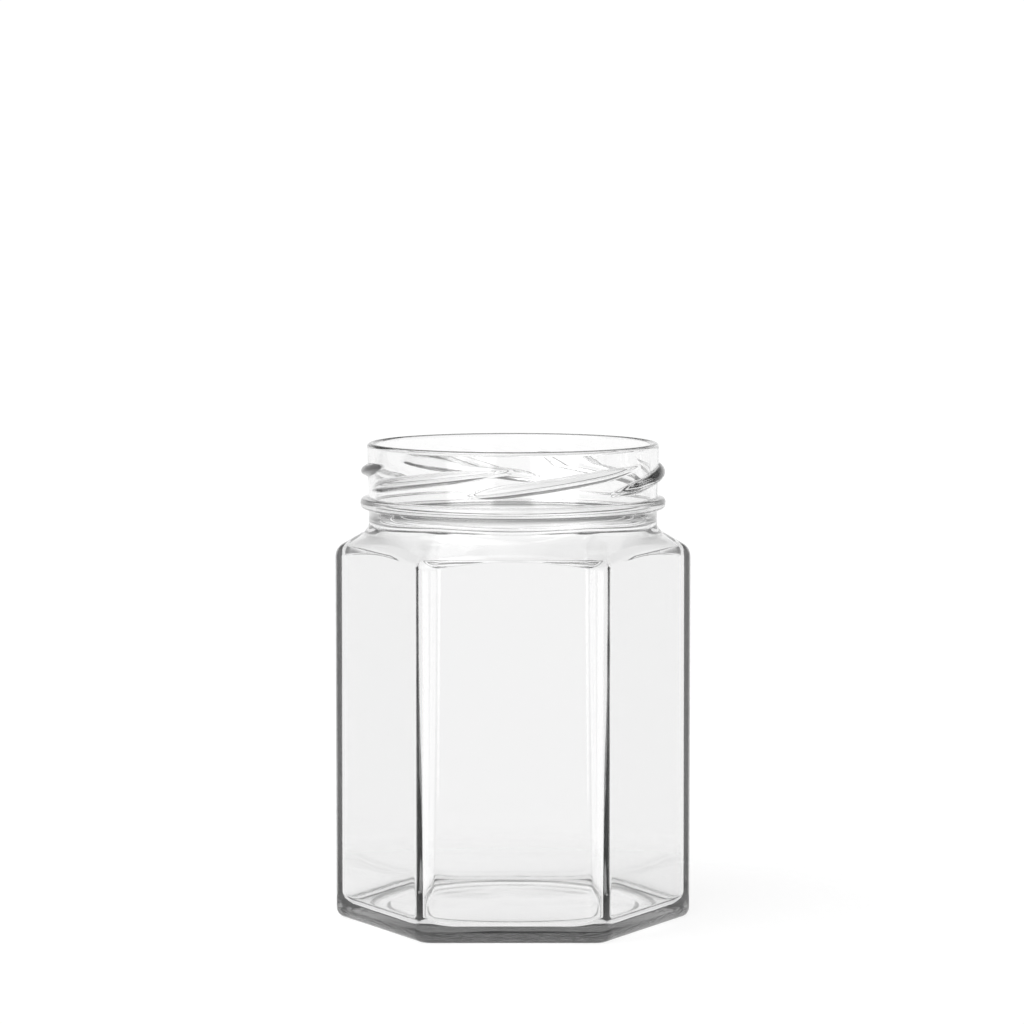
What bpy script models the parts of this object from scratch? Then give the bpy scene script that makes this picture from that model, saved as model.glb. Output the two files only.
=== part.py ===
"""A hexagonal jar of clear glass with a round mouth for a lug cap.

The jar is one piece of glass: a hexagonal body with rounded corners, a shoulder
that turns into a round neck, a bead, six slanting lugs and a rounded lip.
It stands on z = 0 with the centre of its base at the origin and one flat face
towards -Y. All sizes are in metres.
"""

import math

import bmesh
import bpy

# Body
SIDES = 6
HEIGHT = 0.09825
FACE_DISTANCE = 0.0321
CORNER_RADIUS = 0.0040
HEEL_RADIUS = 0.0020

# Inside of the body
WALL = 0.0028
INNER_CORNER_RADIUS = 0.0036
FLOOR_HEIGHT = 0.0031
FLOOR_RISE = 0.0003
COVE_RADIUS = 0.0019
COVE_CORNER_HEIGHT = 0.0024
COVE_TOP_CORNER_RADIUS = 0.0022
FLOOR_CORNER_RADIUS = 0.0120

# Hollow under the base
PUSH_UP_RADIUS = 0.0285
PUSH_UP_HEIGHT = 0.0004
PUSH_UP_POWER = 2

# Shoulder
EDGE_HEIGHT = 0.0776
EDGE_DIP = 0.24
EDGE_FILLET = 0.0018
EDGE_FILLET_GROWTH = 0.29
NECK_CORNER_HEIGHT = 0.08045
NECK_FILLET = 0.0025
INNER_EDGE_DROP = 0.0013
INNER_EDGE_FILLET = 0.0013
INNER_NECK_CORNER_HEIGHT = 0.0800
INNER_NECK_FILLET = 0.0046

# Neck, bead and lip
NECK_RADIUS = 0.02960
FINISH_RADIUS = 0.02995
BEAD_HEIGHT = 0.08595
BEAD_REACH = 0.0017
BEAD_HALF_WIDTH = 0.00118
BEAD_POWER = 3.0
LIP_RADIUS = 0.00085

# Lugs: each climbs round the neck, from its low end to its high end
LUG_COUNT = 6
LUG_START_ANGLE = math.radians(-18.0)
LUG_SPAN_ANGLE = math.radians(78.0)
LUG_LOW_TAPER_ANGLE = math.radians(16.0)
LUG_HIGH_TAPER_ANGLE = math.radians(30.0)
LUG_LOW_BELOW_RIM = 0.0090
LUG_HIGH_BELOW_RIM = 0.00365
LUG_TUBE_RADIUS = 0.00108
LUG_CENTRE_RADIUS = 0.03025
LUG_END_CENTRE_RADIUS = 0.02935
LUG_END_SCALE = 0.45

# Fineness of the mesh
FACE_STEPS = 8
CORNER_STEPS = 6
ARC_STEPS = 4
BEAD_STEPS = 8
LIP_STEPS = 8
LUG_STEPS = 15
LUG_BEVEL_RESOLUTION = 2
PUSH_UP_RINGS = (0.35, 0.6, 0.8, 1.0)
FLOOR_RINGS = (1.0, 0.5)

SECTOR = math.tau / SIDES
GLASS_COLOUR = (0.95, 0.96, 0.96, 1.0)
GLASS_ROUGHNESS = 0.03
GLASS_INDEX = 1.52
SMOOTH_LIMIT = math.radians(35.0)


def clear_scene():
    for item in list(bpy.data.objects):
        bpy.data.objects.remove(item, do_unlink=True)


def make_collection(name):
    collection = bpy.data.collections.new(name)
    bpy.context.scene.collection.children.link(collection)
    return collection


def glass_material():
    material = bpy.data.materials.new("clear_glass")
    material.use_nodes = True
    shader = material.node_tree.nodes["Principled BSDF"]
    shader.inputs["Base Color"].default_value = GLASS_COLOUR
    shader.inputs["Roughness"].default_value = GLASS_ROUGHNESS
    shader.inputs["Metallic"].default_value = 0.0
    shader.inputs["IOR"].default_value = GLASS_INDEX
    shader.inputs["Transmission Weight"].default_value = 1.0
    material.diffuse_color = GLASS_COLOUR
    return material


def hexagon_radius(angle, face_distance, corner_radius):
    """Distance from the axis to a rounded hexagon, angle measured from a face's normal."""
    half = SECTOR / 2.0
    folded = abs((angle + half) % SECTOR - half)
    core = face_distance - corner_radius
    flat_end = math.atan2(core * math.tan(half), face_distance)
    if folded <= flat_end:
        return face_distance / math.cos(folded)
    centre = core / math.cos(half)
    off_corner = half - folded
    across = centre * math.sin(off_corner)
    return centre * math.cos(off_corner) + math.sqrt(corner_radius ** 2 - across ** 2)


def arc(centre, radii, start, end, steps):
    """Points on an ellipse's arc as (radius, height), both ends included."""
    points = []
    for step in range(steps + 1):
        turn = start + (end - start) * step / steps
        points.append((centre[0] + radii[0] * math.cos(turn), centre[1] + radii[1] * math.sin(turn)))
    return points


def fillet(before, corner, after, radius, steps):
    """Points of a round corner between two straight runs of a profile."""
    into = (before[0] - corner[0], before[1] - corner[1])
    out = (after[0] - corner[0], after[1] - corner[1])
    into_length = math.hypot(*into)
    out_length = math.hypot(*out)
    into = (into[0] / into_length, into[1] / into_length)
    out = (out[0] / out_length, out[1] / out_length)
    half_opening = math.acos(into[0] * out[0] + into[1] * out[1]) / 2.0
    tangent = radius / math.tan(half_opening)
    middle = (into[0] + out[0], into[1] + out[1])
    reach = radius / math.sin(half_opening) / math.hypot(*middle)
    centre = (corner[0] + middle[0] * reach, corner[1] + middle[1] * reach)
    first = (corner[0] + into[0] * tangent, corner[1] + into[1] * tangent)
    last = (corner[0] + out[0] * tangent, corner[1] + out[1] * tangent)
    start = math.atan2(first[1] - centre[1], first[0] - centre[0])
    end = math.atan2(last[1] - centre[1], last[0] - centre[0])
    turn = (end - start + math.pi) % math.tau - math.pi
    return arc(centre, (radius, radius), start, start + turn, steps)


def underside_profile():
    """The hollow under the base, from near the axis out to the ring that the jar rests on."""
    points = []
    for share in PUSH_UP_RINGS:
        points.append((PUSH_UP_RADIUS * share, PUSH_UP_HEIGHT * (1.0 - share ** PUSH_UP_POWER)))
    return points


def heel_profile(angle):
    """The round bottom edge, from the resting ring up to the wall."""
    points = []
    for step in range(ARC_STEPS + 1):
        turn = math.pi / 2.0 * step / ARC_STEPS
        inset = HEEL_RADIUS * (1.0 - math.sin(turn))
        radius = hexagon_radius(angle, FACE_DISTANCE - inset, CORNER_RADIUS - inset)
        points.append((radius, HEEL_RADIUS * (1.0 - math.cos(turn))))
    return points


def shoulder_profile(angle):
    """The outside of the shoulder, from the wall up to the neck."""
    wall = hexagon_radius(angle, FACE_DISTANCE, CORNER_RADIUS)
    beyond_face = wall - FACE_DISTANCE
    edge = (wall, EDGE_HEIGHT - EDGE_DIP * beyond_face)
    edge_fillet = EDGE_FILLET + EDGE_FILLET_GROWTH * beyond_face
    neck = (NECK_RADIUS, NECK_CORNER_HEIGHT)
    points = fillet((wall, 0.0), edge, neck, edge_fillet, ARC_STEPS)
    points += fillet(edge, neck, (NECK_RADIUS, HEIGHT), NECK_FILLET, ARC_STEPS)
    return points


def bead_profile():
    """The bead round the neck: a bulge with a nearly flat front and round edges."""
    points = []
    for step in range(BEAD_STEPS + 1):
        turn = math.pi * (step / BEAD_STEPS - 0.5)
        reach = BEAD_REACH * abs(math.cos(turn)) ** (2.0 / BEAD_POWER)
        rise = BEAD_HALF_WIDTH * math.copysign(abs(math.sin(turn)) ** (2.0 / BEAD_POWER), turn)
        points.append((NECK_RADIUS + reach, BEAD_HEIGHT + rise))
    return points


def finish_profile():
    """The bead and the lip, from the neck up, over the rim and down to the bore."""
    points = bead_profile()
    lip_centre = (FINISH_RADIUS - LIP_RADIUS, HEIGHT - LIP_RADIUS)
    points += arc(lip_centre, (LIP_RADIUS, LIP_RADIUS), 0.0, math.pi, LIP_STEPS)
    return points


def cove_profile(angle):
    """The round between the wall and the floor, which climbs higher into the corners."""
    face = FACE_DISTANCE - WALL
    corner_growth = FLOOR_CORNER_RADIUS - COVE_TOP_CORNER_RADIUS
    deepest_ease = corner_growth * (1.0 / math.cos(SECTOR / 2.0) - 1.0)
    square = hexagon_radius(angle, face, COVE_TOP_CORNER_RADIUS)
    eased = hexagon_radius(angle, face, FLOOR_CORNER_RADIUS)
    in_corner = (square - eased) / deepest_ease
    height = COVE_RADIUS + (COVE_CORNER_HEIGHT - COVE_RADIUS) * in_corner
    points = []
    for step in range(ARC_STEPS + 1):
        turn = math.pi / 2.0 * step / ARC_STEPS
        progress = 1.0 - math.cos(turn)
        radius = hexagon_radius(angle, face - COVE_RADIUS * progress,
                                COVE_TOP_CORNER_RADIUS + corner_growth * progress)
        points.append((radius, FLOOR_HEIGHT + height * (1.0 - math.sin(turn))))
    return points


def inside_profile(angle):
    """The inside, from the bore down the shoulder and wall to the floor."""
    bore = FINISH_RADIUS - 2.0 * LIP_RADIUS
    wall = hexagon_radius(angle, FACE_DISTANCE - WALL, INNER_CORNER_RADIUS)
    outer_wall = hexagon_radius(angle, FACE_DISTANCE, CORNER_RADIUS)
    edge_height = EDGE_HEIGHT - EDGE_DIP * (outer_wall - FACE_DISTANCE) - INNER_EDGE_DROP
    neck = (bore, INNER_NECK_CORNER_HEIGHT)
    edge = (wall, edge_height)
    points = fillet((bore, HEIGHT), neck, edge, INNER_NECK_FILLET, ARC_STEPS)
    points += fillet(neck, edge, (wall, 0.0), INNER_EDGE_FILLET, ARC_STEPS)
    cove = cove_profile(angle)
    points += cove[:-1]
    floor_reach = cove[-1][0]
    for share in FLOOR_RINGS:
        points.append((floor_reach * share, FLOOR_HEIGHT + FLOOR_RISE * (1.0 - share ** 2)))
    return points


def jar_profile(angle):
    """The whole section at one angle, from the underside out, up, over and in."""
    points = underside_profile()
    points += heel_profile(angle)
    points += shoulder_profile(angle)
    points += finish_profile()
    points += inside_profile(angle)
    return points


def section_angles():
    """Angles round the axis from -Y: a few across each face, closer ones at each corner."""
    core = FACE_DISTANCE - CORNER_RADIUS
    flat_end = math.atan2(core * math.tan(SECTOR / 2.0), FACE_DISTANCE)
    angles = []
    for side in range(SIDES):
        middle = side * SECTOR
        for step in range(FACE_STEPS):
            angles.append(middle - flat_end + 2.0 * flat_end * step / FACE_STEPS)
        corner_span = SECTOR - 2.0 * flat_end
        for step in range(CORNER_STEPS):
            angles.append(middle + flat_end + corner_span * step / CORNER_STEPS)
    return angles


def place(angle, radius, height):
    """A point at an angle round the axis, counted from -Y towards +X."""
    return (radius * math.sin(angle), -radius * math.cos(angle), height)


def make_vessel(collection):
    """Loft the section round the axis, from round at the neck to hexagonal below."""
    angles = section_angles()
    profiles = [jar_profile(angle) for angle in angles]
    mesh = bmesh.new()
    rings = []
    for level in range(len(profiles[0])):
        ring = [mesh.verts.new(place(angle, *profile[level])) for angle, profile in zip(angles, profiles)]
        rings.append(ring)
    under_pole = mesh.verts.new((0.0, 0.0, PUSH_UP_HEIGHT))
    floor_pole = mesh.verts.new((0.0, 0.0, FLOOR_HEIGHT + FLOOR_RISE))
    count = len(angles)
    for lower, upper in zip(rings, rings[1:]):
        for index in range(count):
            after = (index + 1) % count
            mesh.faces.new((lower[index], lower[after], upper[after], upper[index]))
    for index in range(count):
        after = (index + 1) % count
        mesh.faces.new((under_pole, rings[0][after], rings[0][index]))
        mesh.faces.new((floor_pole, rings[-1][index], rings[-1][after]))
    bmesh.ops.triangulate(mesh, faces=mesh.faces[:])
    data = bpy.data.meshes.new("jar")
    mesh.to_mesh(data)
    mesh.free()
    jar = bpy.data.objects.new("jar", data)
    collection.objects.link(jar)
    return jar


def lug_route(first_angle):
    """Centre-line points of one lug, each with its thickness as a share of the full one."""
    points = []
    for step in range(LUG_STEPS + 1):
        turned = LUG_SPAN_ANGLE * step / LUG_STEPS
        left = LUG_SPAN_ANGLE - turned
        from_end = min(turned / LUG_LOW_TAPER_ANGLE, left / LUG_HIGH_TAPER_ANGLE, 1.0)
        fullness = 0.5 - 0.5 * math.cos(from_end * math.pi)
        radius = LUG_END_CENTRE_RADIUS + (LUG_CENTRE_RADIUS - LUG_END_CENTRE_RADIUS) * fullness
        below_rim = LUG_LOW_BELOW_RIM
        below_rim += (LUG_HIGH_BELOW_RIM - LUG_LOW_BELOW_RIM) * turned / LUG_SPAN_ANGLE
        thickness = LUG_END_SCALE + (1.0 - LUG_END_SCALE) * fullness
        points.append((place(first_angle + turned, radius, HEIGHT - below_rim), thickness))
    return points


def curve_to_mesh(item, collection):
    """Turn a curve object into a closed mesh object in the same place."""
    graph = bpy.context.evaluated_depsgraph_get()
    data = bpy.data.meshes.new_from_object(item.evaluated_get(graph))
    welded = bmesh.new()
    welded.from_mesh(data)
    bmesh.ops.remove_doubles(welded, verts=welded.verts[:], dist=1e-6)
    welded.to_mesh(data)
    welded.free()
    solid = bpy.data.objects.new(item.name + "_solid", data)
    solid.matrix_world = item.matrix_world.copy()
    collection.objects.link(solid)
    bpy.data.objects.remove(item, do_unlink=True)
    return solid


def make_lug(index, collection):
    """One slanting lug: a round bar that sinks into the neck at both ends, slowly at the high one."""
    curve = bpy.data.curves.new("lug", "CURVE")
    curve.dimensions = "3D"
    curve.bevel_depth = LUG_TUBE_RADIUS
    curve.bevel_resolution = LUG_BEVEL_RESOLUTION
    curve.use_fill_caps = True
    route = lug_route(LUG_START_ANGLE + math.tau * index / LUG_COUNT)
    spline = curve.splines.new("POLY")
    spline.points.add(len(route) - 1)
    for point, (position, thickness) in zip(spline.points, route):
        point.co = (*position, 1.0)
        point.radius = thickness
    lug = bpy.data.objects.new("lug_" + str(index + 1), curve)
    collection.objects.link(lug)
    bpy.context.view_layer.update()
    return curve_to_mesh(lug, collection)


def fuse(item, collection):
    """Join every object of the collection to the item, then remove the collection's objects."""
    union = item.modifiers.new("fuse_lugs", "BOOLEAN")
    union.operation = "UNION"
    union.solver = "EXACT"
    union.operand_type = "COLLECTION"
    union.collection = collection
    bpy.context.view_layer.objects.active = item
    bpy.ops.object.modifier_apply(modifier=union.name)
    for piece in list(collection.objects):
        bpy.data.objects.remove(piece, do_unlink=True)
    bpy.data.collections.remove(collection)


def main():
    clear_scene()
    parts = make_collection("hexagonal_jar")
    lugs = make_collection("lugs")
    jar = make_vessel(parts)
    for index in range(LUG_COUNT):
        make_lug(index, lugs)
    fuse(jar, lugs)
    jar.data.materials.clear()
    jar.data.materials.append(glass_material())
    jar.data.shade_smooth()
    jar.data.set_sharp_from_angle(angle=SMOOTH_LIMIT)


main()
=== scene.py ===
"""Looks of the hexagonal glass jar: clear glass on a pale floor in soft white light.

The fine glass below follows the same section as the solid it stands for. It is lofted
round the axis, and the lugs are raised from its neck. All sizes are in metres.
"""

import math

import bpy
import numpy as np
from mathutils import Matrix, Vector


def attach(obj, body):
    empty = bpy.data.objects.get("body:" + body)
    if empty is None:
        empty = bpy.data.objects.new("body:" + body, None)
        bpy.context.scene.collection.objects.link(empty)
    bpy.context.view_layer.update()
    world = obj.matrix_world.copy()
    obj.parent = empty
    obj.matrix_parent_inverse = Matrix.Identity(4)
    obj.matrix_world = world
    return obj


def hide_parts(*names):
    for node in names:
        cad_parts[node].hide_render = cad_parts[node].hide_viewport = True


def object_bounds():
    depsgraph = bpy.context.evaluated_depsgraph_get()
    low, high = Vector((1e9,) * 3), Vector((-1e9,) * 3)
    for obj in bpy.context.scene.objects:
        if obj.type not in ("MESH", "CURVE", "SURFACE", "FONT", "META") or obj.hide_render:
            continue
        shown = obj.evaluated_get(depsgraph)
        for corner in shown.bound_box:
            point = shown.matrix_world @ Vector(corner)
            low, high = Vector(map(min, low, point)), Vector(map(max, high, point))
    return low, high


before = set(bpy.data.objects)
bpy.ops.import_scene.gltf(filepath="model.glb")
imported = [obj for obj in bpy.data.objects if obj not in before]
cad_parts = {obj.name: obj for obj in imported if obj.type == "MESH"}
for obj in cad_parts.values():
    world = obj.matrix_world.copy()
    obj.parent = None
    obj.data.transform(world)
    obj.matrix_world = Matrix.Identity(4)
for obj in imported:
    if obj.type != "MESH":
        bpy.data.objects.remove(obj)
cad_low, cad_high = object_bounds()

# Body
SIDES = 6
SECTOR = math.tau / SIDES
HEIGHT = cad_high[2]
FACE_DISTANCE = 0.0321
CORNER_RADIUS = 0.0040
HEEL_RADIUS = 0.0020

# Inside of the body
WALL = 0.0028
INNER_CORNER_RADIUS = 0.0036
FLOOR_HEIGHT = 0.0031
FLOOR_RISE = 0.0003

# Cove between the inner wall and the inner floor
COVE_RADIUS = 0.0019
COVE_CORNER_HEIGHT = 0.0024
COVE_TOP_CORNER_RADIUS = 0.0022
COVE_FLOOR_CORNER_RADIUS = 0.0120
COVE_CORNER_EASE = COVE_FLOOR_CORNER_RADIUS - COVE_TOP_CORNER_RADIUS
CORNER_CUT = COVE_CORNER_EASE * (1.0 / math.cos(math.pi / SIDES) - 1.0)

# Hollow under the base, with a slightly raised ring in it
PUSH_UP_RADIUS = 0.0285
PUSH_UP_HEIGHT = 0.0004
RING_INNER_RADIUS = 0.0240
RING_OUTER_RADIUS = 0.0276
RING_HEIGHT = 0.0002
RING_EDGE = 0.0005

# Shoulder: its outer edge dips towards the corners, and is rounder there
EDGE_HEIGHT = 0.0776
EDGE_DIP = 0.24
EDGE_FILLET = 0.0018
EDGE_FILLET_GROWTH = 0.29
NECK_CORNER_HEIGHT = 0.08045
NECK_FILLET = 0.0025
INNER_EDGE_DROP = 0.0013
INNER_EDGE_FILLET = 0.0013
INNER_NECK_CORNER_HEIGHT = 0.0800
INNER_NECK_FILLET = 0.0046

# Neck, bead and lip
NECK_RADIUS = 0.02960
FINISH_RADIUS = 0.02995
BEAD_HEIGHT = 0.08595
BEAD_REACH = 0.0017
BEAD_HALF_WIDTH = 0.00118
BEAD_POWER = 3.0
LIP_HALF_WIDTH = 0.00085
LIP_HEIGHT = 0.00085
BORE_RADIUS = FINISH_RADIUS - 2.0 * LIP_HALF_WIDTH

# Lugs: each climbs round the neck, from its low end to its high end, and tapers at both
LUG_COUNT = 6
LUG_START_ANGLE = math.radians(-18.0)
LUG_SPAN_ANGLE = math.radians(78.0)
LUG_LOW_TAPER_ANGLE = math.radians(16.0)
LUG_HIGH_TAPER_ANGLE = math.radians(30.0)
LUG_LOW_BELOW_RIM = 0.00925
LUG_HIGH_BELOW_RIM = 0.0039
LUG_ABOVE = 0.00145
LUG_BELOW = 0.00095
LUG_REACH = 0.00138
LUG_END_SCALE = 0.35
LUG_ROUNDNESS = 0.7

# Fineness of the mesh
FACE_STEPS = 34
CORNER_STEPS = 26
UNDERSIDE_STEPS = 12
RING_EDGE_STEPS = 8
HEEL_STEPS = 10
FILLET_STEPS = 12
SLOPE_STEPS = 4
BEAD_STEPS = 14
FINISH_STEPS = 84
LIP_STEPS = 16
COVE_STEPS = 14
WALL_STEPS = 8
FLOOR_STEPS = 8

# Glass: its colour is dark only in the thin crown of the rim, painted shade that stands in for the dark
# line the rim's walls give
GLASS_INDEX = 1.52
GLASS_DENSITY = 28.0
CROWN_PAINTED_SHADE = 0.12
CROWN_DEPTH = 0.00022
CROWN_SOFTNESS = 0.00010

# Relief of the glass: waves all over it, and a stipple on a band of the heel
WAVE_SCALE = 70.0
WAVE_DETAIL = 1.0
WAVE_HEIGHT = 0.00005
STIPPLE_SCALE = 400.0
STIPPLE_DETAIL = 2.0
STIPPLE_STRETCH = 8.0
STIPPLE_HEIGHT = 0.0003
STIPPLE_BAND_BOTTOM = 0.0010
STIPPLE_BAND_TOP = 0.0022
STIPPLE_FADE = 0.0003

# Camera, fitted to the outline of the jar in the photograph; lens and sensor in millimetres
CAMERA_DISTANCE = 0.8673
CAMERA_HEIGHT = 0.1572
CAMERA_SIDE = -0.000204
CAMERA_PITCH = math.radians(4.831)
CAMERA_LENS = 149.12
CAMERA_SENSOR = 36.0
CAMERA_NEAR = 0.01
CAMERA_FAR = 100.0

# Floor: a white disc that glows evenly, with a painted pool of light under the jar, and fades out into
# the surround
FLOOR_RADIUS = 0.115
FLOOR_SIDES = 96
FLOOR_DROP = 0.00005
FLOOR_WHITE = 0.18
FLOOR_ROUGHNESS = 0.9
FLOOR_GLOW = 0.87
JAR_PAINTED_LIGHT = 0.15
PAINTED_POOL_START = 0.026
PAINTED_POOL_END = 0.036
FLOOR_FADE_START = 0.070
FLOOR_FADE_END = 0.99 * FLOOR_RADIUS

# Surround: the elevations, in degrees, between which its walls pass into the ceiling
WALL_LIGHT = 1.05
CEILING_LIGHT = 0.22
WALLS_END = 10.0
CEILING_START = 24.0

# Soft light overhead: the half-angles, in degrees, between which it fades out
SOFTBOX_DIRECTION = tuple(Vector((-0.55, -0.55, 0.75)).normalized())
SOFTBOX_INNER = 18.0
SOFTBOX_OUTER = 44.0
SOFTBOX_LIGHT = 3.0

# Low fill light: degrees away from straight in front, and elevations in degrees
FILL_NEAR = 14.0
FILL_FAR = 56.0
FILL_EDGE = 6.0
FILL_TOP = 2.0
FILL_BOTTOM = -11.5
FILL_BOTTOM_EDGE = 1.5
FILL_LIGHT = 2.5

# Colours, and the bounces of light that the render follows
WHITE = (1.0, 1.0, 1.0, 1.0)
BLACK = (0.0, 0.0, 0.0, 1.0)
LIGHT_BOUNCES = 32


def flat_half_angle(face_distance, corner_radius):
    """Half the angle that the flat of a face takes up, seen from the axis."""
    return math.atan2((face_distance - corner_radius) * math.tan(SECTOR / 2.0), face_distance)


def hexagon_radius(angle, face_distance, corner_radius):
    """Distance from the axis to a rounded hexagon, angle measured from a face's normal."""
    half = SECTOR / 2.0
    folded = abs((angle + half) % SECTOR - half)
    if folded <= flat_half_angle(face_distance, corner_radius):
        return face_distance / math.cos(folded)
    centre = (face_distance - corner_radius) / math.cos(half)
    off_corner = half - folded
    across = centre * math.sin(off_corner)
    return centre * math.cos(off_corner) + math.sqrt(corner_radius ** 2 - across ** 2)


def arc(centre, radii, start, end, steps):
    """Points on an ellipse's arc as (radius, height), both ends included."""
    points = []
    for step in range(steps + 1):
        turn = start + (end - start) * step / steps
        points.append((centre[0] + radii[0] * math.cos(turn), centre[1] + radii[1] * math.sin(turn)))
    return points


def run(start, end, steps):
    """Points strictly between two points of a profile."""
    points = []
    for step in range(1, steps):
        share = step / steps
        points.append((start[0] + (end[0] - start[0]) * share, start[1] + (end[1] - start[1]) * share))
    return points


def fillet(before, corner, after, radius, steps):
    """Points of a round corner between two straight runs of a profile."""
    into = (before[0] - corner[0], before[1] - corner[1])
    out = (after[0] - corner[0], after[1] - corner[1])
    into_length = math.hypot(*into)
    out_length = math.hypot(*out)
    into = (into[0] / into_length, into[1] / into_length)
    out = (out[0] / out_length, out[1] / out_length)
    half_opening = math.acos(into[0] * out[0] + into[1] * out[1]) / 2.0
    tangent = radius / math.tan(half_opening)
    middle = (into[0] + out[0], into[1] + out[1])
    reach = radius / math.sin(half_opening) / math.hypot(*middle)
    centre = (corner[0] + middle[0] * reach, corner[1] + middle[1] * reach)
    first = (corner[0] + into[0] * tangent, corner[1] + into[1] * tangent)
    last = (corner[0] + out[0] * tangent, corner[1] + out[1] * tangent)
    start = math.atan2(first[1] - centre[1], first[0] - centre[0])
    end = math.atan2(last[1] - centre[1], last[0] - centre[0])
    turn = (end - start + math.pi) % math.tau - math.pi
    return arc(centre, (radius, radius), start, start + turn, steps)


def smooth(value, middle, reach):
    """Goes smoothly from 0 to 1 within the reach on both sides of the middle."""
    share = min(max((value - (middle - reach)) / (2.0 * reach), 0.0), 1.0)
    return share * share * (3.0 - 2.0 * share)


def underside_radii():
    """Radii of the rings of points under the base, close together at the raised ring's edges."""
    radii = [RING_INNER_RADIUS * step / UNDERSIDE_STEPS for step in range(1, UNDERSIDE_STEPS)]
    spacing = 2.0 * RING_EDGE / RING_EDGE_STEPS
    for middle in (RING_INNER_RADIUS, RING_OUTER_RADIUS):
        radii += [middle - RING_EDGE + spacing * step for step in range(RING_EDGE_STEPS + 1)]
    radii.append(PUSH_UP_RADIUS)
    return radii


def underside_profile():
    """The shallow hollow under the base, with the raised ring in it."""
    points = []
    for radius in underside_radii():
        height = PUSH_UP_HEIGHT * (1.0 - (radius / PUSH_UP_RADIUS) ** 2)
        ring = smooth(radius, RING_INNER_RADIUS, RING_EDGE)
        ring -= smooth(radius, RING_OUTER_RADIUS, RING_EDGE)
        points.append((radius, height + RING_HEIGHT * ring))
    return points


def heel_profile(angle):
    """The rounded bottom edge of the body, from the underside out to the wall."""
    points = []
    for step in range(HEEL_STEPS + 1):
        turn = math.pi / 2.0 * step / HEEL_STEPS
        inset = HEEL_RADIUS * (1.0 - math.sin(turn))
        radius = hexagon_radius(angle, FACE_DISTANCE - inset, CORNER_RADIUS - inset)
        points.append((radius, HEEL_RADIUS * (1.0 - math.cos(turn))))
    return points


def shoulder_profile(angle, heel_top):
    """The outside from the top of the heel, up the wall and over the shoulder to the neck."""
    wall = hexagon_radius(angle, FACE_DISTANCE, CORNER_RADIUS)
    beyond_face = wall - FACE_DISTANCE
    edge = (wall, EDGE_HEIGHT - EDGE_DIP * beyond_face)
    edge_fillet = EDGE_FILLET + EDGE_FILLET_GROWTH * beyond_face
    neck = (NECK_RADIUS, NECK_CORNER_HEIGHT)
    outer_edge = fillet((wall, 0.0), edge, neck, edge_fillet, FILLET_STEPS)
    neck_root = fillet(edge, neck, (NECK_RADIUS, HEIGHT), NECK_FILLET, FILLET_STEPS)
    points = run(heel_top, outer_edge[0], WALL_STEPS)
    points += outer_edge
    points += run(outer_edge[-1], neck_root[0], SLOPE_STEPS)
    points += neck_root
    return points


def bead_profile():
    """The bead round the neck, squarer than an ellipse."""
    points = []
    power = 2.0 / BEAD_POWER
    for step in range(BEAD_STEPS + 1):
        turn = math.pi * (step / BEAD_STEPS - 0.5)
        reach = BEAD_REACH * abs(math.cos(turn)) ** power
        rise = BEAD_HALF_WIDTH * math.copysign(abs(math.sin(turn)) ** power, turn)
        points.append((NECK_RADIUS + reach, BEAD_HEIGHT + rise))
    return points


def lug_height(angle, height):
    """How far the lugs stand out of the neck at a place on it."""
    proud = 0.0
    for index in range(LUG_COUNT):
        turned = (angle - LUG_START_ANGLE - math.tau * index / LUG_COUNT) % math.tau
        if turned > LUG_SPAN_ANGLE:
            continue
        from_low_end = turned / LUG_LOW_TAPER_ANGLE
        from_high_end = (LUG_SPAN_ANGLE - turned) / LUG_HIGH_TAPER_ANGLE
        fullness = 0.5 - 0.5 * math.cos(min(from_low_end, from_high_end, 1.0) * math.pi)
        below_rim = LUG_LOW_BELOW_RIM
        below_rim += (LUG_HIGH_BELOW_RIM - LUG_LOW_BELOW_RIM) * turned / LUG_SPAN_ANGLE
        across = height - (HEIGHT - below_rim)
        half_width = LUG_ABOVE if across > 0.0 else LUG_BELOW
        across /= half_width * (LUG_END_SCALE + (1.0 - LUG_END_SCALE) * fullness)
        if abs(across) < 1.0:
            proud = max(proud, LUG_REACH * fullness * (1.0 - across ** 2) ** LUG_ROUNDNESS)
    return proud


def finish_profile(angle):
    """The bead, the wall above it that carries the lugs, and the rounded lip."""
    points = bead_profile()
    lip_centre = (FINISH_RADIUS - LIP_HALF_WIDTH, HEIGHT - LIP_HEIGHT)
    lip = arc(lip_centre, (LIP_HALF_WIDTH, LIP_HEIGHT), 0.0, math.pi, LIP_STEPS)
    for radius, height in run(points[-1], lip[0], FINISH_STEPS):
        points.append((radius + lug_height(angle, height), height))
    points += lip
    return points


def inner_shoulder(angle):
    """The inside of the shoulder, from the bore out and down to the inner wall."""
    wall = hexagon_radius(angle, FACE_DISTANCE - WALL, INNER_CORNER_RADIUS)
    outer_wall = hexagon_radius(angle, FACE_DISTANCE, CORNER_RADIUS)
    neck = (BORE_RADIUS, INNER_NECK_CORNER_HEIGHT)
    edge = (wall, EDGE_HEIGHT - EDGE_DIP * (outer_wall - FACE_DISTANCE) - INNER_EDGE_DROP)
    neck_round = fillet((BORE_RADIUS, HEIGHT), neck, edge, INNER_NECK_FILLET, FILLET_STEPS)
    edge_round = fillet(neck, edge, (wall, 0.0), INNER_EDGE_FILLET, FILLET_STEPS)
    return neck_round + run(neck_round[-1], edge_round[0], SLOPE_STEPS) + edge_round


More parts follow.
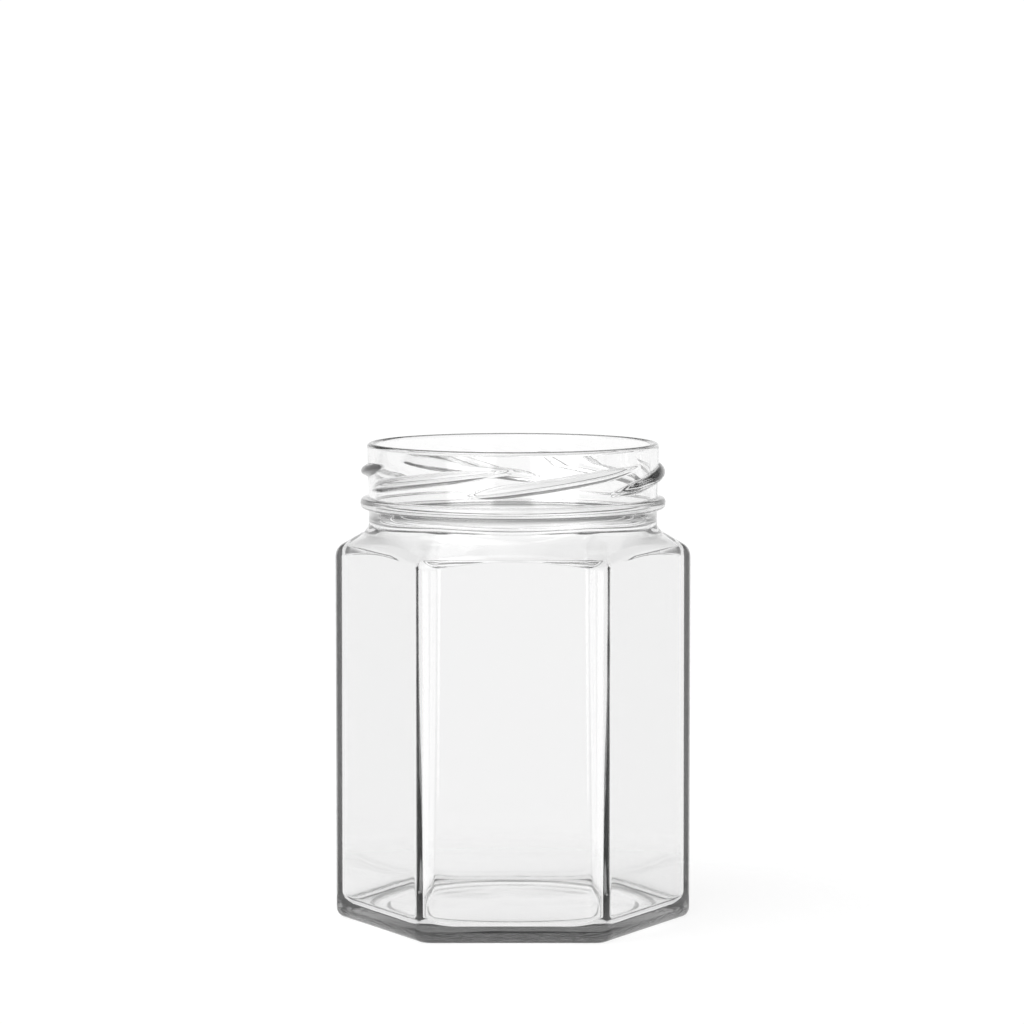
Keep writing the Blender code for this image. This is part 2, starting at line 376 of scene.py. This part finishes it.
def cove_profile(angle):
    """The round between the wall and the floor, which climbs higher into the corners."""
    face = FACE_DISTANCE - WALL
    square = hexagon_radius(angle, face, COVE_TOP_CORNER_RADIUS)
    eased = hexagon_radius(angle, face, COVE_FLOOR_CORNER_RADIUS)
    in_corner = (square - eased) / CORNER_CUT
    height = COVE_RADIUS + (COVE_CORNER_HEIGHT - COVE_RADIUS) * in_corner
    points = []
    for step in range(COVE_STEPS + 1):
        turn = math.pi / 2.0 * step / COVE_STEPS
        inward = 1.0 - math.cos(turn)
        corner_radius = COVE_TOP_CORNER_RADIUS + COVE_CORNER_EASE * inward
        radius = hexagon_radius(angle, face - COVE_RADIUS * inward, corner_radius)
        points.append((radius, FLOOR_HEIGHT + height * (1.0 - math.sin(turn))))
    return points


def inside_profile(angle):
    """The inside of the jar, down from the lip and in to the middle of the floor."""
    shoulder = inner_shoulder(angle)
    cove = cove_profile(angle)
    points = run((BORE_RADIUS, HEIGHT - LIP_HEIGHT), shoulder[0], WALL_STEPS)
    points += shoulder
    points += run(shoulder[-1], cove[0], WALL_STEPS)
    points += cove[:-1]
    floor_reach = cove[-1][0]
    for step in range(FLOOR_STEPS):
        share = 1.0 - step / FLOOR_STEPS
        points.append((floor_reach * share, FLOOR_HEIGHT + FLOOR_RISE * (1.0 - share ** 2)))
    return points


def jar_profile(angle):
    """The whole section at one angle, from under the base round to the inner floor."""
    points = underside_profile()
    heel = heel_profile(angle)
    points += heel
    points += shoulder_profile(angle, heel[-1])
    points += finish_profile(angle)
    points += inside_profile(angle)
    return points


def section_angles():
    """Angles of the sections, evenly spaced over each face and, closer, round each corner."""
    flat_end = flat_half_angle(FACE_DISTANCE, CORNER_RADIUS)
    corner_span = SECTOR - 2.0 * flat_end
    angles = []
    for side in range(SIDES):
        middle = side * SECTOR
        for step in range(FACE_STEPS):
            angles.append(middle - flat_end + 2.0 * flat_end * step / FACE_STEPS)
        for step in range(CORNER_STEPS):
            angles.append(middle + flat_end + corner_span * step / CORNER_STEPS)
    return angles


def loft_points(angles, profiles):
    """Points of the sections, ring by ring, then the two points on the axis."""
    turn = np.array(angles)[:, None]
    radius = profiles[:, :, 0]
    height = profiles[:, :, 1]
    points = np.stack((radius * np.sin(turn), -radius * np.cos(turn), height), axis=-1)
    points = points.transpose(1, 0, 2).reshape(-1, 3)
    return np.vstack((points, (0.0, 0.0, PUSH_UP_HEIGHT), (0.0, 0.0, FLOOR_HEIGHT + FLOOR_RISE)))


def loft_faces(sections, rings):
    """Quads between neighbouring rings, and triangles round the two points on the axis."""
    columns = [(this, (this + 1) % sections) for this in range(sections)]
    faces = []
    for ring in range(rings - 1):
        low = ring * sections
        high = low + sections
        faces += [(low + this, low + after, high + after, high + this) for this, after in columns]
    last = (rings - 1) * sections
    under_pole = rings * sections
    floor_pole = under_pole + 1
    faces += [(under_pole, after, this) for this, after in columns]
    faces += [(floor_pole, last + this, last + after) for this, after in columns]
    return faces


def make_glass():
    """The whole jar as one closed mesh."""
    angles = section_angles()
    profiles = np.array([jar_profile(angle) for angle in angles])
    sections, rings = profiles.shape[:2]
    mesh = bpy.data.meshes.new("glass_jar")
    mesh.from_pydata(loft_points(angles, profiles).tolist(), [], loft_faces(sections, rings))
    mesh.validate()
    mesh.shade_smooth()
    jar = bpy.data.objects.new("glass_jar", mesh)
    bpy.context.scene.collection.objects.link(jar)
    return jar


def smooth_step(tree, value, start, end, low, high):
    """A node socket that goes smoothly from low to high as value goes from start to end."""
    step = tree.nodes.new("ShaderNodeMapRange")
    step.interpolation_type = "SMOOTHSTEP"
    step.inputs["From Min"].default_value = start
    step.inputs["From Max"].default_value = end
    step.inputs["To Min"].default_value = low
    step.inputs["To Max"].default_value = high
    tree.links.new(value, step.inputs["Value"])
    return step.outputs["Result"]


def combine(tree, operation, first, second):
    """A node socket that holds the sum or the product of two others."""
    node = tree.nodes.new("ShaderNodeMath")
    node.operation = operation
    tree.links.new(first, node.inputs[0])
    tree.links.new(second, node.inputs[1])
    return node.outputs["Value"]


def noise_bump(tree, place, scale, detail, height):
    """A bump node that raises noise on the surface."""
    noise = tree.nodes.new("ShaderNodeTexNoise")
    noise.inputs["Scale"].default_value = scale
    noise.inputs["Detail"].default_value = detail
    tree.links.new(place, noise.inputs["Vector"])
    bump = tree.nodes.new("ShaderNodeBump")
    bump.inputs["Distance"].default_value = height
    tree.links.new(noise.outputs["Fac"], bump.inputs["Height"])
    return bump


def stipple_band(tree, height):
    """A node socket that is 1 on the stippled band of the heel, and 0 above and below it."""
    above = smooth_step(tree, height, STIPPLE_BAND_BOTTOM - STIPPLE_FADE,
                        STIPPLE_BAND_BOTTOM + STIPPLE_FADE, 0.0, 1.0)
    below = smooth_step(tree, height, STIPPLE_BAND_TOP - STIPPLE_FADE,
                        STIPPLE_BAND_TOP + STIPPLE_FADE, 1.0, 0.0)
    return combine(tree, "MULTIPLY", above, below)


def surface_relief(tree, place, height):
    """Slight waves all over the glass, and a fine stipple on the heel."""
    waves = noise_bump(tree, place, WAVE_SCALE, WAVE_DETAIL, WAVE_HEIGHT)
    flatten = tree.nodes.new("ShaderNodeVectorMath")
    flatten.operation = "MULTIPLY"
    flatten.inputs[1].default_value = (1.0, 1.0, STIPPLE_STRETCH)
    tree.links.new(place, flatten.inputs[0])
    stipple = noise_bump(tree, flatten.outputs["Vector"], STIPPLE_SCALE, STIPPLE_DETAIL, STIPPLE_HEIGHT)
    tree.links.new(stipple_band(tree, height), stipple.inputs["Strength"])
    tree.links.new(waves.outputs["Normal"], stipple.inputs["Normal"])
    return stipple.outputs["Normal"]


def glass_material():
    """Clear glass that greys the light on its way through, with painted shade on the rim: its crown is
    coloured dark.
    """
    material = bpy.data.materials.new("clear_glass")
    material.use_nodes = True
    tree = material.node_tree
    shader = tree.nodes["Principled BSDF"]
    shader.inputs["Roughness"].default_value = 0.0
    shader.inputs["IOR"].default_value = GLASS_INDEX
    shader.inputs["Transmission Weight"].default_value = 1.0
    place = tree.nodes.new("ShaderNodeTexCoord").outputs["Object"]
    parts = tree.nodes.new("ShaderNodeSeparateXYZ")
    tree.links.new(place, parts.inputs["Vector"])
    height = parts.outputs["Z"]
    # Painted shade: the base colour turns dark in the rim's crown, standing in for the shade of light
    # piped down the walls
    crown = HEIGHT - CROWN_DEPTH
    crown_painted_shade = smooth_step(tree, height, crown - CROWN_SOFTNESS, crown + CROWN_SOFTNESS, 1.0, CROWN_PAINTED_SHADE)
    tree.links.new(crown_painted_shade, shader.inputs["Base Color"])
    tree.links.new(surface_relief(tree, place, height), shader.inputs["Normal"])
    absorb = tree.nodes.new("ShaderNodeVolumeAbsorption")
    absorb.inputs["Color"].default_value = BLACK
    absorb.inputs["Density"].default_value = GLASS_DENSITY
    tree.links.new(absorb.outputs["Volume"], tree.nodes["Material Output"].inputs["Volume"])
    return material


def floor_material():
    """White that glows evenly, with a painted pool of light under the jar, and turns see-through
    towards the disc's edge.
    """
    material = bpy.data.materials.new("floor_white")
    material.use_nodes = True
    tree = material.node_tree
    shader = tree.nodes["Principled BSDF"]
    shader.inputs["Base Color"].default_value = (FLOOR_WHITE, FLOOR_WHITE, FLOOR_WHITE, 1.0)
    shader.inputs["Roughness"].default_value = FLOOR_ROUGHNESS
    shader.inputs["Specular IOR Level"].default_value = 0.0
    place = tree.nodes.new("ShaderNodeTexCoord")
    length = tree.nodes.new("ShaderNodeVectorMath")
    length.operation = "LENGTH"
    tree.links.new(place.outputs["Object"], length.inputs[0])
    from_axis = length.outputs["Value"]
    cover = smooth_step(tree, from_axis, FLOOR_FADE_START, FLOOR_FADE_END, 1.0, 0.0)
    tree.links.new(cover, shader.inputs["Alpha"])
    # Painted light: the glow is stronger under the jar, a pool of light painted where the glass would
    # focus light on the floor
    glow_and_painted_pool = smooth_step(tree, from_axis, PAINTED_POOL_START, PAINTED_POOL_END, FLOOR_GLOW + JAR_PAINTED_LIGHT, FLOOR_GLOW)
    shader.inputs["Emission Color"].default_value = WHITE
    tree.links.new(glow_and_painted_pool, shader.inputs["Emission Strength"])
    return material


def make_floor():
    """The disc that the jar stands on, a hair below its base."""
    bpy.ops.mesh.primitive_circle_add(vertices=FLOOR_SIDES, radius=FLOOR_RADIUS, fill_type="NGON",
                                      location=(0.0, 0.0, -FLOOR_DROP))
    floor = bpy.context.object
    floor.name = "floor"
    floor.data.materials.append(floor_material())
    return floor


def sine(degrees):
    """Sine of an angle in degrees, which is how high a direction at that elevation points."""
    return math.sin(math.radians(degrees))


def cosine(degrees):
    """Cosine of an angle in degrees, which is how much two directions that far apart agree."""
    return math.cos(math.radians(degrees))


def overhead_light(tree, direction):
    """The broad soft light above the camera's left."""
    toward = tree.nodes.new("ShaderNodeVectorMath")
    toward.operation = "DOT_PRODUCT"
    toward.inputs[1].default_value = SOFTBOX_DIRECTION
    tree.links.new(direction, toward.inputs[0])
    return smooth_step(tree, toward.outputs["Value"], cosine(SOFTBOX_OUTER), cosine(SOFTBOX_INNER),
                       0.0, SOFTBOX_LIGHT)


def fill_light(tree, parts):
    """The low light in front, on both sides of the camera but not straight behind it."""
    depth = parts.outputs["Y"]
    rise = parts.outputs["Z"]
    far = smooth_step(tree, depth, -cosine(FILL_FAR), -cosine(FILL_FAR - FILL_EDGE), 0.0, 1.0)
    near = smooth_step(tree, depth, -cosine(FILL_NEAR + FILL_EDGE), -cosine(FILL_NEAR), 1.0, 0.0)
    light = smooth_step(tree, rise, sine(FILL_TOP - FILL_EDGE), sine(FILL_TOP), FILL_LIGHT, 0.0)
    bottom = smooth_step(tree, rise, sine(FILL_BOTTOM), sine(FILL_BOTTOM + FILL_BOTTOM_EDGE), 0.0, 1.0)
    for share in (far, near, bottom):
        light = combine(tree, "MULTIPLY", light, share)
    return light


def make_world():
    """White low down all round and dimmer higher up, with a soft light overhead and a low fill."""
    world = bpy.data.worlds.new("studio")
    bpy.context.scene.world = world
    world.use_nodes = True
    tree = world.node_tree
    direction = tree.nodes.new("ShaderNodeTexCoord").outputs["Generated"]
    parts = tree.nodes.new("ShaderNodeSeparateXYZ")
    tree.links.new(direction, parts.inputs["Vector"])
    walls = smooth_step(tree, parts.outputs["Z"], sine(WALLS_END), sine(CEILING_START),
                        WALL_LIGHT, CEILING_LIGHT)
    light = combine(tree, "ADD", walls, overhead_light(tree, direction))
    light = combine(tree, "ADD", light, fill_light(tree, parts))
    background = tree.nodes["Background"]
    background.inputs["Color"].default_value = WHITE
    tree.links.new(light, background.inputs["Strength"])


def make_camera():
    """The camera at the photo's angle, level across and tipped slightly down."""
    data = bpy.data.cameras.new("camera")
    data.lens = CAMERA_LENS
    data.sensor_width = CAMERA_SENSOR
    data.clip_start = CAMERA_NEAR
    data.clip_end = CAMERA_FAR
    camera = bpy.data.objects.new("camera", data)
    camera.location = (CAMERA_SIDE, -CAMERA_DISTANCE, CAMERA_HEIGHT)
    camera.rotation_euler = (math.pi / 2.0 - CAMERA_PITCH, 0.0, 0.0)
    bpy.context.scene.collection.objects.link(camera)
    bpy.context.scene.camera = camera


def set_render():
    """Plain colours, and enough bounces for light to cross all the walls of the glass."""
    scene = bpy.context.scene
    scene.view_settings.view_transform = "Standard"
    scene.cycles.max_bounces = LIGHT_BOUNCES
    scene.cycles.glossy_bounces = LIGHT_BOUNCES
    scene.cycles.transmission_bounces = LIGHT_BOUNCES
    scene.cycles.transparent_max_bounces = LIGHT_BOUNCES


def main():
    """Sets up the render, dresses the stage and adds the jar."""
    set_render()
    make_camera()
    make_world()
    make_floor()
    jar = make_glass()
    jar.data.materials.append(glass_material())
    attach(jar, "root")
    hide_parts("jar")


main()
